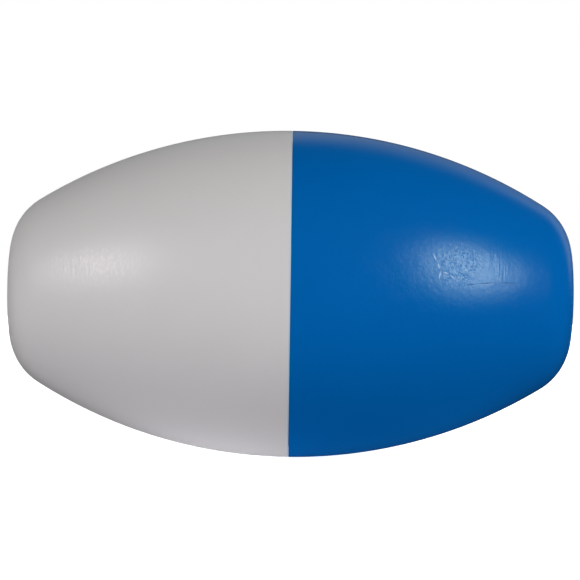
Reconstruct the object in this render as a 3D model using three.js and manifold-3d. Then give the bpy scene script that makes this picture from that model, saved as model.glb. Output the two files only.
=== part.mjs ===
// A two-colour rope float for a pool lane or safety line. Two hollow halves make a barrel with blunt
// ends, and a 19 mm rope runs through it from end to end. The halves screw together on a quick
// four-start thread: the last 120 degrees of the twist push a tapered ring over six collet fingers,
// which close on the rope. It is drawn locked, with the halves together.
//
// Millimetres. X is the rope's axis, with the white half at -X and the blue half at +X, and the origin
// is on that axis in the plane where the halves meet.
import * as THREE from "three";
import { mergeVertices } from "three/addons/utils/BufferGeometryUtils.js";
import Module from "manifold-3d";

const wasm = await Module();
wasm.setup();

// Outer form.
const HALF_LENGTH = 114.3;
const BELLY_RADIUS = 66.7;
const BARREL_ARC_RADIUS = 195;
const SHOULDER_RADIUS = 24.5;
const WALL = 3;
const END_WALL = 3.5; // round the rope's hole
const SEAM_GAP = 0.3;
const RIM_CHAMFER = 0.4;
const FIT = 0.3; // clearance between pieces that are welded or snapped together

// Rope passage. A 19 mm rope has a radius of 9.5.
const HOLE_RADIUS = 11;
const MOUTH_RADIUS = 2; // the rounded lip that the rope bears on
const TUBE_INNER_RADIUS = 11.25;
const TUBE_OUTER_RADIUS = 13;
const TUBE_SOCKET_WALL = 3;
const TUBE_SOCKET_DEPTH = 12;

// Bulkheads, which close the air chambers. Distances are from the seam.
const BULKHEAD_THICKNESS = 3;
const WHITE_BULKHEAD_FRONT = 4;
const BLUE_BULKHEAD_FRONT = 11;
const RIM_INNER_RADIUS = 63;
const LEDGE_RADIUS = 60;
const LEDGE_LENGTH = 3;
const LEDGE_TAPER = 5;
const WELD_SKIRT = 2;
const LIP_STEP_AT = -1; // where the white locating lip starts, behind the seam
const LIP_LENGTH = 10; // how far the lip reaches past the seam
const LIP_RADIUS = 62.3;
const LIP_WALL = 3;

// Seal ring in the lip's groove.
const SEAL_AT = 3.2;
const SEAL_SECTION_RADIUS = 0.9;
const SEAL_GROOVE_WIDTH = 2.6;
const SEAL_GROOVE_DEPTH = 1.6;

// Four-start thread that draws the halves together.
const THREAD_STARTS = 4;
const THREAD_LEAD = 24;
const THREAD_FROM = 2;
const THREAD_TO = 15;
const RIB_WIDTH = 2.6;
const RIB_TAPER = 0.35; // how much each flank leans over the rib's height
const RIB_ROOT = 0.6; // how far a rib reaches into its wall
const COLLAR_INNER_RADIUS = 21;
const COLLAR_OUTER_RADIUS = 25;
const COLLAR_TO = 16;
const SPIGOT_RIB_RADIUS = 27.8;
const SOCKET_INNER_RADIUS = 28.3;
const SOCKET_OUTER_RADIUS = 32;
const SOCKET_RIB_RADIUS = 25.5;
const SOCKET_FROM = 1;
const SOCKET_FLOOR = 27;

// Collet.
const FINGERS = 6;
const FINGER_SLOT = 1.8;
const FINGER_FROM = 1.5;
const FINGER_TO = 22;
const FINGER_NECK_TO = 7;
const FINGER_TIP_RADIUS = 14;
const NECK_INNER_RADIUS = 15.2;
const NECK_OUTER_RADIUS = 17.2;
const GRIP_RADIUS = 9;
const GRIP_TOOTH = 1.2;
const GRIP_PITCH = 2;
const GRIP_TEETH = 4;
const TAPER_SLOPE = Math.tan(THREE.MathUtils.degToRad(14));
const FINGER_TIP_CHAMFER = 1;
const FIRST_TOOTH_FROM_TIP = 0.5;
const COLLET_RING_TO = 1.2;
const COLLET_RING_CHAMFER = 2;
const LOCK_BORE_RADIUS = 12.25; // of the collet ring and the closing ring

// Closing ring, and the snap ring that holds it in the blue half.
const CLOSING_RING_FROM = 5;
const CLOSING_RING_RADIUS = 20.6;
const TAPER_CLEARANCE = 0.4;
const TAPER_TO = 22.8;
const FLANGE_FROM = 21.7;
const FLANGE_TO = 26.6;
const FLANGE_RADIUS = 27.8;
const SNAP_RING_FROM = 18.7;
const SNAP_RING_TO = 21.3;
const SNAP_RING_INNER_RADIUS = 22;
const SNAP_RING_OUTER_RADIUS = 29.4;
const SNAP_RING_GAP = 7;

// Keys that let the closing ring slide in the white collar but not turn.
const KEYS = 3;
const KEY_WIDTH = 8;
const KEY_RADIUS = 22.9;
const KEYWAY_WIDTH = 8.8;
const KEYWAY_RADIUS = 23.3;
const KEY_TO = 15.5;

// Facets round the axis, and along the arcs of a shell's outline.
const SHELL_SEGMENTS = 48;
const INNER_SEGMENTS = 36;
const SEAL_SECTION_SEGMENTS = 8;
const BARREL_STEPS = 8;
const SHOULDER_STEPS = 6;
const MOUTH_STEPS = 3;
const INSIDE_BARREL_STEPS = 5;
const INSIDE_SHOULDER_STEPS = 4;

const CUT_PAST = 1; // how far a cutting block runs past what it cuts

// ---- Solids ----------------------------------------------------------------------------------------

// A closed three.js geometry as a solid that can be cut and joined.
function solidOf(geometry) {
  const bare = geometry.index ? geometry.toNonIndexed() : geometry.clone();
  bare.deleteAttribute("normal");
  bare.deleteAttribute("uv");
  const merged = mergeVertices(bare, 1e-4);
  const mesh = new wasm.Mesh({
    numProp: 3,
    vertProperties: merged.attributes.position.array,
    triVerts: new Uint32Array(merged.index.array),
  });
  return new wasm.Manifold(mesh);
}

// A solid as a three.js geometry.
function geometryOf(solid) {
  const mesh = solid.getMesh();
  const geometry = new THREE.BufferGeometry();
  geometry.setAttribute("position", new THREE.BufferAttribute(mesh.vertProperties, 3));
  geometry.setIndex(new THREE.BufferAttribute(mesh.triVerts, 1));
  geometry.computeVertexNormals();
  return geometry;
}

// Revolves a closed outline of [x, radius] points round the X axis. side is 1 for the blue half,
// and -1 turns the outline over to the white half.
function revolve(outline, side = 1, segments = INNER_SEGMENTS) {
  const points = outline.map(([x, r]) => new THREE.Vector2(r, x * side));
  if (THREE.ShapeUtils.area(points) < 0) points.reverse();
  points.push(points[0].clone());
  return solidOf(new THREE.LatheGeometry(points, segments).rotateZ(-Math.PI / 2));
}

// Points [x, radius] on an arc. Angles are measured from +X towards larger radii.
function arc(centreX, centreR, radius, from, to, steps) {
  return Array.from({ length: steps + 1 }, (_, i) => {
    const angle = from + ((to - from) * i) / steps;
    return [centreX + radius * Math.cos(angle), centreR + radius * Math.sin(angle)];
  });
}

// A block centred on an angle round the X axis: from and to are along X, near and far are radii.
function radialBlock(from, to, near, far, width, angle) {
  const block = new THREE.BoxGeometry(to - from, far - near, width);
  return solidOf(block.translate((from + to) / 2, (near + far) / 2, 0).rotateX(angle));
}

function keyAngles() {
  return Array.from({ length: KEYS }, (_, i) => Math.PI / 6 + (i * 2 * Math.PI) / KEYS);
}

// One helical rib between two radii. A straight bar with one segment per facet is wound on the thread.
function helicalRib(inner, outer, phase, taperOutwards) {
  const turn = (2 * Math.PI * (THREAD_TO - THREAD_FROM - RIB_WIDTH)) / THREAD_LEAD;
  const steps = Math.round((turn / (2 * Math.PI)) * INNER_SEGMENTS);
  const bar = new THREE.BoxGeometry(turn, outer - inner, RIB_WIDTH, steps, 1, 1);
  const at = bar.attributes.position;
  const middle = (THREAD_FROM + THREAD_TO) / 2;
  for (let i = 0; i < at.count; i++) {
    const radius = (inner + outer) / 2 + at.getY(i);
    const atCrest = at.getY(i) > 0 === taperOutwards;
    const flank = Math.sign(at.getZ(i)) * (RIB_WIDTH / 2 - (atCrest ? RIB_TAPER : 0));
    const angle = phase + at.getX(i);
    const x = middle + (at.getX(i) / (2 * Math.PI)) * THREAD_LEAD + flank;
    at.setXYZ(i, x, radius * Math.cos(angle), radius * Math.sin(angle));
  }
  const rib = solidOf(bar);
  if (rib.volume() > 0) return rib;
  for (let i = 0; i < bar.index.count; i += 3) {
    const first = bar.index.getX(i);
    bar.index.setX(i, bar.index.getX(i + 1));
    bar.index.setX(i + 1, first);
  }
  return solidOf(bar);
}

function addThread(solid, inner, outer, offset, taperOutwards) {
  for (let start = 0; start < THREAD_STARTS; start++) {
    const phase = ((start + offset) * 2 * Math.PI) / THREAD_STARTS;
    solid = solid.add(helicalRib(inner, outer, phase, taperOutwards));
  }
  return solid;
}

// ---- Outer shells ----------------------------------------------------------------------------------

// The shoulder's centre: its arc touches the end plane and the barrel's arc.
const barrelCentreR = BELLY_RADIUS - BARREL_ARC_RADIUS;
const shoulderX = HALF_LENGTH - SHOULDER_RADIUS;
const shoulderR = barrelCentreR + Math.sqrt((BARREL_ARC_RADIUS - SHOULDER_RADIUS) ** 2 - shoulderX ** 2);
const tangentAngle = Math.atan2(shoulderR - barrelCentreR, shoulderX);

// The angle on the barrel's arc, or on an arc that far inside it, at a distance from the seam.
function barrelAngle(x, inset = 0) {
  return Math.acos(x / (BARREL_ARC_RADIUS - inset));
}

// One half's cup: barrel, shoulder and end wall with the rope's mouth, a socket for the rope tube, and
// a ledge inside the rim that the bulkhead is welded against.
function shell(side, ledge) {
  const rim = SEAM_GAP / 2;
  const chamferEnd = rim + RIM_CHAMFER;
  const socketRadius = TUBE_OUTER_RADIUS + FIT;
  const socketFloor = HALF_LENGTH - END_WALL;
  const bossEnd = socketFloor - TUBE_SOCKET_DEPTH;
  const taperEnd = ledge + LEDGE_LENGTH + LEDGE_TAPER;
  const innerArc = BARREL_ARC_RADIUS - WALL;
  const innerShoulder = SHOULDER_RADIUS - WALL;
  const innerStart = barrelAngle(taperEnd, WALL);
  const mouthX = HALF_LENGTH - MOUTH_RADIUS;
  return revolve(
    [
      [rim, BELLY_RADIUS - RIM_CHAMFER],
      ...arc(0, barrelCentreR, BARREL_ARC_RADIUS, barrelAngle(chamferEnd), tangentAngle, BARREL_STEPS),
      ...arc(shoulderX, shoulderR, SHOULDER_RADIUS, tangentAngle, 0, SHOULDER_STEPS).slice(1),
      ...arc(mouthX, HOLE_RADIUS + MOUTH_RADIUS, MOUTH_RADIUS, 0, -Math.PI / 2, MOUTH_STEPS),
      [socketFloor, HOLE_RADIUS],
      [socketFloor, socketRadius],
      [bossEnd, socketRadius],
      [bossEnd, socketRadius + TUBE_SOCKET_WALL],
      ...arc(shoulderX, shoulderR, innerShoulder, 0, tangentAngle, INSIDE_SHOULDER_STEPS),
      ...arc(0, barrelCentreR, innerArc, tangentAngle, innerStart, INSIDE_BARREL_STEPS).slice(1),
      [ledge + LEDGE_LENGTH, LEDGE_RADIUS],
      [ledge, LEDGE_RADIUS],
      [ledge, RIM_INNER_RADIUS],
      [rim, RIM_INNER_RADIUS],
    ],
    side,
    SHELL_SEGMENTS,
  );
}

const whiteLedge = WHITE_BULKHEAD_FRONT + BULKHEAD_THICKNESS + WELD_SKIRT + FIT;
const blueLedge = BLUE_BULKHEAD_FRONT + BULKHEAD_THICKNESS + WELD_SKIRT + FIT;

// ---- Rope tubes ------------------------------------------------------------------------------------

// A plain pipe from the bulkhead's socket to the socket in the shell's end.
function ropeTube(side, bulkheadBack) {
  const from = bulkheadBack + FIT;
  const to = HALF_LENGTH - END_WALL - FIT;
  return revolve(
    [
      [from, TUBE_INNER_RADIUS],
      [to, TUBE_INNER_RADIUS],
      [to, TUBE_OUTER_RADIUS],
      [from, TUBE_OUTER_RADIUS],
    ],
    side,
  );
}

// ---- Bulkheads -------------------------------------------------------------------------------------

const weldRadius = RIM_INNER_RADIUS - FIT;
const skirtInner = weldRadius - WALL;
const tubeSocket = TUBE_OUTER_RADIUS + FIT;

// White: a disc with the weld skirt, the locating lip that reaches into the blue half, the threaded
// collar with three keyways, and the rope tube's socket. Its outline is drawn with X pointing away
// from the blue half.
function whiteBulkhead() {
  const front = WHITE_BULKHEAD_FRONT;
  const back = front + BULKHEAD_THICKNESS;
  const grooveFrom = -(SEAL_AT - SEAL_GROOVE_WIDTH / 2);
  const grooveTo = -(SEAL_AT + SEAL_GROOVE_WIDTH / 2);
  const grooveFloor = LIP_RADIUS - SEAL_GROOVE_DEPTH;
  const keywayInner = COLLAR_INNER_RADIUS - CUT_PAST;
  const disc = revolve(
    [
      [back + TUBE_SOCKET_DEPTH, tubeSocket],
      [back, tubeSocket],
      [back, TUBE_INNER_RADIUS],
      [front, TUBE_INNER_RADIUS],
      [front, COLLAR_INNER_RADIUS],
      [-COLLAR_TO, COLLAR_INNER_RADIUS],
      [-COLLAR_TO, COLLAR_OUTER_RADIUS],
      [front, COLLAR_OUTER_RADIUS],
      [front, LIP_RADIUS - LIP_WALL],
      [-LIP_LENGTH, LIP_RADIUS - LIP_WALL],
      [-LIP_LENGTH, LIP_RADIUS],
      [grooveTo, LIP_RADIUS],
      [grooveTo, grooveFloor],
      [grooveFrom, grooveFloor],
      [grooveFrom, LIP_RADIUS],
      [-LIP_STEP_AT, LIP_RADIUS],
      [-LIP_STEP_AT, weldRadius],
      [back + WELD_SKIRT, weldRadius],
      [back + WELD_SKIRT, skirtInner],
      [back, skirtInner],
      [back, tubeSocket + TUBE_SOCKET_WALL],
      [back + TUBE_SOCKET_DEPTH, tubeSocket + TUBE_SOCKET_WALL],
    ],
    -1,
  );
  const threaded = addThread(disc, COLLAR_OUTER_RADIUS - RIB_ROOT, SPIGOT_RIB_RADIUS, 0, true);
  return keyAngles().reduce(
    (solid, angle) =>
      solid.subtract(
        radialBlock(-front, COLLAR_TO + CUT_PAST, keywayInner, KEYWAY_RADIUS, KEYWAY_WIDTH, angle),
      ),
    threaded,
  );
}

// Blue: a disc with the weld skirt, and a deep threaded cup that takes the collar, with the snap ring's
// groove near its floor and the rope tube's socket behind it.
function blueBulkhead() {
  const front = BLUE_BULKHEAD_FRONT;
  const back = front + BULKHEAD_THICKNESS;
  const cupBack = SOCKET_FLOOR + BULKHEAD_THICKNESS;
  const grooveRadius = SNAP_RING_OUTER_RADIUS + FIT;
  const cup = revolve([
    [SOCKET_FROM, SOCKET_INNER_RADIUS],
    [SNAP_RING_FROM - FIT, SOCKET_INNER_RADIUS],
    [SNAP_RING_FROM - FIT, grooveRadius],
    [SNAP_RING_TO + FIT, grooveRadius],
    [SNAP_RING_TO + FIT, SOCKET_INNER_RADIUS],
    [SOCKET_FLOOR, SOCKET_INNER_RADIUS],
    [SOCKET_FLOOR, TUBE_INNER_RADIUS],
    [cupBack, TUBE_INNER_RADIUS],
    [cupBack, tubeSocket],
    [cupBack + TUBE_SOCKET_DEPTH, tubeSocket],
    [cupBack + TUBE_SOCKET_DEPTH, tubeSocket + TUBE_SOCKET_WALL],
    [cupBack, tubeSocket + TUBE_SOCKET_WALL],
    [cupBack, SOCKET_OUTER_RADIUS],
    [back, SOCKET_OUTER_RADIUS],
    [back, skirtInner],
    [back + WELD_SKIRT, skirtInner],
    [back + WELD_SKIRT, weldRadius],
    [front, weldRadius],
    [front, SOCKET_OUTER_RADIUS],
    [SOCKET_FROM, SOCKET_OUTER_RADIUS],
  ]);
  return addThread(cup, SOCKET_RIB_RADIUS, SOCKET_INNER_RADIUS + RIB_ROOT, 0.5, false);
}

// ---- Rope lock -------------------------------------------------------------------------------------

// Keys that stand out of a ring, one for each keyway of the collar.
function addKeys(ring, from, to) {
  const root = CLOSING_RING_RADIUS - CUT_PAST;
  return keyAngles().reduce(
    (solid, angle) => solid.add(radialBlock(from, to, root, KEY_RADIUS, KEY_WIDTH, angle)),
    ring,
  );
}

// The collet's base, seated in the collar and held by keys in its keyways.
function colletRing() {
  const from = -WHITE_BULKHEAD_FRONT + FIT;
  const chamferFrom = COLLET_RING_TO - COLLET_RING_CHAMFER;
  const ring = revolve([
    [from, LOCK_BORE_RADIUS],
    [chamferFrom, LOCK_BORE_RADIUS],
    [COLLET_RING_TO, NECK_INNER_RADIUS],
    [COLLET_RING_TO, NECK_OUTER_RADIUS],
    [chamferFrom, CLOSING_RING_RADIUS],
    [from, CLOSING_RING_RADIUS],
  ]);
  return addKeys(ring, from, chamferFrom);
}

// The outside of a closed finger at x, parallel to the closing ring's taper.
function fingerOuter(x) {
  return FINGER_TIP_RADIUS + (FINGER_TO - x) * TAPER_SLOPE;
}

// One finger, pointing along +X with its middle at +Y: a thin neck that flexes, a tapered back that the
// closing ring slides over, and teeth that bite the rope.
function finger() {
  const teeth = Array.from({ length: GRIP_TEETH }, (_, i) => {
    const x = FINGER_TO - FIRST_TOOTH_FROM_TIP - i * GRIP_PITCH;
    return [
      [x, GRIP_RADIUS],
      [x - GRIP_PITCH, GRIP_RADIUS + GRIP_TOOTH],
    ];
  }).flat();
  const tipFrom = FINGER_TO - FINGER_TIP_CHAMFER;
  const body = revolve([
    [FINGER_FROM, NECK_INNER_RADIUS],
    [FINGER_FROM, NECK_OUTER_RADIUS],
    [FINGER_NECK_TO, NECK_OUTER_RADIUS],
    [FINGER_NECK_TO + 1, fingerOuter(FINGER_NECK_TO + 1)],
    [tipFrom, fingerOuter(tipFrom)],
    [FINGER_TO, FINGER_TIP_RADIUS - FINGER_TIP_CHAMFER],
    [FINGER_TO, GRIP_RADIUS + GRIP_TOOTH],
    ...teeth,
    [FINGER_NECK_TO, NECK_INNER_RADIUS],
  ]);
  const halfAngle = Math.PI / FINGERS;
  const apex = FINGER_SLOT / 2 / Math.sin(halfAngle);
  const reach = BELLY_RADIUS / 2;
  const wedge = new THREE.Shape([
    new THREE.Vector2(0, apex),
    new THREE.Vector2(reach * Math.sin(halfAngle), apex + reach * Math.cos(halfAngle)),
    new THREE.Vector2(-reach * Math.sin(halfAngle), apex + reach * Math.cos(halfAngle)),
  ]);
  const sector = new THREE.ExtrudeGeometry(wedge, { depth: FINGER_TO + CUT_PAST, bevelEnabled: false });
  return body.intersect(solidOf(sector.rotateY(Math.PI / 2)));
}

// The tapered ring that closes the fingers. Three keys run in the collar's keyways, and its flange is
// trapped in the blue cup, so it moves with the blue half but doesn't turn with it.
function closingRing() {
  const ring = revolve([
    [CLOSING_RING_FROM, fingerOuter(CLOSING_RING_FROM) + TAPER_CLEARANCE],
    [TAPER_TO, fingerOuter(TAPER_TO) + TAPER_CLEARANCE],
    [TAPER_TO, LOCK_BORE_RADIUS],
    [FLANGE_TO, LOCK_BORE_RADIUS],
    [FLANGE_TO, FLANGE_RADIUS],
    [FLANGE_FROM, FLANGE_RADIUS],
    [FLANGE_FROM, CLOSING_RING_RADIUS],
    [CLOSING_RING_FROM, CLOSING_RING_RADIUS],
  ]);
  return addKeys(ring, CLOSING_RING_FROM, KEY_TO);
}

// A split ring in the cup's groove, in front of the closing ring's flange.
function snapRing() {
  const ring = revolve([
    [SNAP_RING_FROM, SNAP_RING_INNER_RADIUS],
    [SNAP_RING_TO, SNAP_RING_INNER_RADIUS],
    [SNAP_RING_TO, SNAP_RING_OUTER_RADIUS],
    [SNAP_RING_FROM, SNAP_RING_OUTER_RADIUS],
  ]);
  const gap = radialBlock(
    SNAP_RING_FROM - CUT_PAST,
    SNAP_RING_TO + CUT_PAST,
    SNAP_RING_INNER_RADIUS - CUT_PAST,
    SNAP_RING_OUTER_RADIUS + CUT_PAST,
    SNAP_RING_GAP,
    -Math.PI / 2,
  );
  return ring.subtract(gap);
}

// The O-ring in the locating lip's groove.
function sealRing() {
  const floor = LIP_RADIUS - SEAL_GROOVE_DEPTH;
  const centre = floor + SEAL_SECTION_RADIUS + FIT;
  const section = arc(SEAL_AT, centre, SEAL_SECTION_RADIUS, 0, 2 * Math.PI, SEAL_SECTION_SEGMENTS);
  return revolve(section.slice(1));
}

// ---- Assembly --------------------------------------------------------------------------------------

const whitePlastic = new THREE.MeshStandardMaterial({ color: 0xd9d6d4, roughness: 0.42 });
const bluePlastic = new THREE.MeshStandardMaterial({ color: 0x0060ad, roughness: 0.42 });
const lockPlastic = new THREE.MeshStandardMaterial({ color: 0xe3e1da, roughness: 0.5 });
const snapRingPlastic = new THREE.MeshStandardMaterial({ color: 0x2b2d30, roughness: 0.45 });
const sealRubber = new THREE.MeshStandardMaterial({ color: 0x161616, roughness: 0.8 });

function piece(name, solid, material) {
  const mesh = new THREE.Mesh(geometryOf(solid), material);
  mesh.name = name;
  return mesh;
}

const whiteHalf = new THREE.Group();
whiteHalf.add(
  piece("white_shell", shell(-1, whiteLedge), whitePlastic),
  piece("white_bulkhead", whiteBulkhead(), whitePlastic),
  piece("white_rope_tube", ropeTube(-1, WHITE_BULKHEAD_FRONT + BULKHEAD_THICKNESS), whitePlastic),
  piece("seam_seal_ring", sealRing(), sealRubber),
);

const ropeLock = new THREE.Group();
ropeLock.add(
  piece("collet_ring", colletRing(), lockPlastic),
  piece("closing_ring", closingRing(), lockPlastic),
);
const fingerSolid = finger();
for (let i = 0; i < FINGERS; i++) {
  const mesh = piece(`collet_finger_${i + 1}`, fingerSolid, lockPlastic);
  mesh.rotation.x = (i * 2 * Math.PI) / FINGERS;
  ropeLock.add(mesh);
}

const blueHalf = new THREE.Group();
blueHalf.add(
  piece("blue_shell", shell(1, blueLedge), bluePlastic),
  piece("blue_bulkhead", blueBulkhead(), bluePlastic),
  piece("blue_rope_tube", ropeTube(1, SOCKET_FLOOR + BULKHEAD_THICKNESS), bluePlastic),
  piece("snap_ring", snapRing(), snapRingPlastic),
);

const float = new THREE.Group();
float.add(whiteHalf, ropeLock, blueHalf);
export default float;
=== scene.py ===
"""A two-colour rope float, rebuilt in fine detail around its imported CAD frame.

Outlines are drawn in millimetres as (x, radius) points, with X along the rope, and each is turned
round the X axis. Finished meshes are in metres, in the same frame as the CAD.
"""

import math

import bmesh
import bpy
from mathutils import Matrix, Vector


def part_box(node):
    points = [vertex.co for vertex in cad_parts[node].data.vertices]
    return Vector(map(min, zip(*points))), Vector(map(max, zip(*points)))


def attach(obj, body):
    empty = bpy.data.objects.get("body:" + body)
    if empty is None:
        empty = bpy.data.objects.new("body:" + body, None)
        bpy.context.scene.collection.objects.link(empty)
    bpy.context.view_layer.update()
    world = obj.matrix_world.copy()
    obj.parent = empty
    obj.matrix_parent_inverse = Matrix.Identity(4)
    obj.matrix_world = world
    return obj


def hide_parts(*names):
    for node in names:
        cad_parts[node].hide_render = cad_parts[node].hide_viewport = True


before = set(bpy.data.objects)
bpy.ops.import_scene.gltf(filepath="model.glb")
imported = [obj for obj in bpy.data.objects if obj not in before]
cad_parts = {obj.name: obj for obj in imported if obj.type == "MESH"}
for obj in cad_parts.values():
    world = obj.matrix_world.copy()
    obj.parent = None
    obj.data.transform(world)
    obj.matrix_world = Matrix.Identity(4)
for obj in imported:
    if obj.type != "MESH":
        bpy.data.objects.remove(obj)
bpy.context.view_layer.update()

MM = 0.001


def in_mm(node):
    """A CAD node's lowest and highest corners, in millimetres."""
    low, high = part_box(node)
    return [v / MM for v in low], [v / MM for v in high]


# ---- Dimensions, in millimetres ----------------------------------------------------------------------

SHELL_HIGH = in_mm("blue_shell")[1]
HALF_LENGTH = SHELL_HIGH[0]
BELLY_RADIUS = SHELL_HIGH[2]
BARREL_ARC_RADIUS = 195.0
SHOULDER_RADIUS = 24.5
WALL = 3.0
END_WALL = 3.5
FIT = 0.3  # the clearance between parts that touch
RIM_GAP = 0.06  # between the halves when they are screwed right up
RIM_ROUNDING = 0.25

HOLE_RADIUS = 11.0
MOUTH_RADIUS = 2.0
TUBE_INNER_RADIUS = 11.25
TUBE_OUTER_RADIUS = in_mm("blue_rope_tube")[1][2]
TUBE_SOCKET_WALL = 3.0
TUBE_SOCKET_DEPTH = 12.0

BULKHEAD_THICKNESS = 3.0
WHITE_FRONT = 4.0
BLUE_FRONT = 11.0
RIM_INNER_RADIUS = 63.0
LEDGE_RADIUS = 60.0
LEDGE_LENGTH = 3.0
LEDGE_TAPER = 5.0
WELD_SKIRT = 2.0
LIP_STEP = 1.0
LIP_LENGTH = 10.0
LIP_RADIUS = 62.3
LIP_WALL = 3.0
SEAL_AT = 3.2
SEAL_SECTION_RADIUS = 0.9
SEAL_GROOVE_WIDTH = 2.6
SEAL_GROOVE_DEPTH = 1.6

THREAD_STARTS = 4
THREAD_LEAD = 24.0
THREAD_FROM = 2.0
THREAD_TO = 15.0
RIB_WIDTH = 2.6
RIB_TAPER = 0.35
RIB_ROOT = 0.6
COLLAR_INNER_RADIUS = 21.0
COLLAR_OUTER_RADIUS = 25.0
COLLAR_TO = in_mm("white_bulkhead")[1][0]
SPIGOT_RIB_RADIUS = 27.8
SOCKET_INNER_RADIUS = 28.3
SOCKET_OUTER_RADIUS = 32.0
SOCKET_RIB_RADIUS = 25.5
SOCKET_FROM = in_mm("blue_bulkhead")[0][0]
SOCKET_FLOOR = 27.0

FINGERS = 6
FINGER_SLOT = 1.8
FINGER_FROM = in_mm("collet_finger_1")[0][0]
FINGER_TO = in_mm("collet_finger_1")[1][0]
FINGER_NECK_TO = 7.0
FINGER_RAMP = 1.0  # how far it takes from the neck to the back's full thickness
FINGER_TIP_RADIUS = 14.0
FINGER_TIP_CHAMFER = 1.0
NECK_INNER_RADIUS = 15.2
NECK_OUTER_RADIUS = 17.2
GRIP_RADIUS = 9.0
GRIP_TOOTH = 1.2
GRIP_PITCH = 2.0
GRIP_TEETH = 4
FIRST_TOOTH_FROM_TIP = 0.5
TAPER_SLOPE = math.tan(math.radians(14))
TAPER_CLEARANCE = 0.4
TAPER_TO = 22.8
COLLET_RING_FROM = in_mm("collet_ring")[0][0]
COLLET_RING_TO = in_mm("collet_ring")[1][0]
COLLET_RING_CHAMFER = 2.0
LOCK_BORE_RADIUS = 12.25
CLOSING_RING_FROM = in_mm("closing_ring")[0][0]
CLOSING_RING_RADIUS = 20.6
FLANGE_FROM = 21.7
FLANGE_TO = in_mm("closing_ring")[1][0]
FLANGE_RADIUS = in_mm("closing_ring")[1][1]
SNAP_RING_FROM = in_mm("snap_ring")[0][0]
SNAP_RING_TO = in_mm("snap_ring")[1][0]
SNAP_RING_INNER_RADIUS = 22.0
SNAP_RING_OUTER_RADIUS = in_mm("snap_ring")[1][2]
SNAP_RING_GAP = 7.0
KEYS = 3
FIRST_KEY_ANGLE = math.pi / 6
KEY_WIDTH = 8.0
KEY_RADIUS = 22.9
KEYWAY_WIDTH = 8.8
KEYWAY_RADIUS = 23.3
KEY_TO = 15.5

ROUNDING = 0.25  # on the edges of the inner mouldings
FINGER_ROUNDING = 0.2
CUT_PAST = 1.0  # how far a cutting block runs past what it cuts

# How finely each curve is divided.
SHELL_SEGMENTS = 288
INNER_SEGMENTS = 144
BARREL_STEPS = 48
SHOULDER_STEPS = 32
MOUTH_STEPS = 10
INNER_BARREL_STEPS = 16
INNER_SHOULDER_STEPS = 12
SEAL_STEPS = 24
FINGER_STEPS = 16
SHARP_ANGLE_DEG = 35  # an edge that turns by more than this looks sharp


# ---- Outlines ----------------------------------------------------------------------------------------


def arc(centre, radius, start, end, steps):
    """Points on an arc. Angles are from +X towards larger radii."""
    points = []
    for i in range(steps + 1):
        angle = start + (end - start) * i / steps
        points.append((centre[0] + radius * math.cos(angle), centre[1] + radius * math.sin(angle)))
    return points


def rounded(points, radius, steps=4, keep_under=math.radians(25)):
    """The closed outline with its corners rounded, except those that turn by less than keep_under."""
    out = []
    for i, here in enumerate(points):
        p = Vector(here)
        before = Vector(points[i - 1]) - p
        after = Vector(points[(i + 1) % len(points)]) - p
        turn = math.pi - before.angle(after)
        if turn < keep_under:
            out.append(here)
            continue
        reach = min(radius * math.tan(turn / 2), 0.45 * before.length, 0.45 * after.length)
        start = p + before.normalized() * reach
        end = p + after.normalized() * reach
        for k in range(steps + 1):
            t = k / steps
            at = start * (1 - t) ** 2 + p * 2 * t * (1 - t) + end * t**2
            out.append((at.x, at.y))
    return out


def mirrored(points):
    """The outline on the white half's side."""
    return [(-x, r) for x, r in points]


BARREL_CENTRE = (0.0, BELLY_RADIUS - BARREL_ARC_RADIUS)
SHOULDER_X = HALF_LENGTH - SHOULDER_RADIUS
SHOULDER_CENTRE = (
    SHOULDER_X,
    BARREL_CENTRE[1] + math.sqrt((BARREL_ARC_RADIUS - SHOULDER_RADIUS) ** 2 - SHOULDER_X**2),
)
TANGENT_ANGLE = math.atan2(SHOULDER_CENTRE[1] - BARREL_CENTRE[1], SHOULDER_X)


def shell_outline(ledge):
    """One half's cup: barrel, shoulder, end wall with the rope's mouth, tube socket and weld ledge."""
    rim = RIM_GAP / 2
    socket_radius = TUBE_OUTER_RADIUS + FIT
    socket_floor = HALF_LENGTH - END_WALL
    boss_end = socket_floor - TUBE_SOCKET_DEPTH
    taper_end = ledge + LEDGE_LENGTH + LEDGE_TAPER
    inner_arc = BARREL_ARC_RADIUS - WALL
    inner_shoulder = SHOULDER_RADIUS - WALL
    first = math.acos(rim / BARREL_ARC_RADIUS)
    last = math.acos(taper_end / inner_arc)
    mouth = (HALF_LENGTH - MOUTH_RADIUS, HOLE_RADIUS + MOUTH_RADIUS)
    return [
        *arc(BARREL_CENTRE, BARREL_ARC_RADIUS, first, TANGENT_ANGLE, BARREL_STEPS),
        *arc(SHOULDER_CENTRE, SHOULDER_RADIUS, TANGENT_ANGLE, 0, SHOULDER_STEPS)[1:],
        *arc(mouth, MOUTH_RADIUS, 0, -math.pi / 2, MOUTH_STEPS),
        (socket_floor, HOLE_RADIUS),
        (socket_floor, socket_radius),
        (boss_end, socket_radius),
        (boss_end, socket_radius + TUBE_SOCKET_WALL),
        *arc(SHOULDER_CENTRE, inner_shoulder, 0, TANGENT_ANGLE, INNER_SHOULDER_STEPS),
        *arc(BARREL_CENTRE, inner_arc, TANGENT_ANGLE, last, INNER_BARREL_STEPS)[1:],
        (ledge + LEDGE_LENGTH, LEDGE_RADIUS),
        (ledge, LEDGE_RADIUS),
        (ledge, RIM_INNER_RADIUS),
        (rim, RIM_INNER_RADIUS),
    ]


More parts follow.
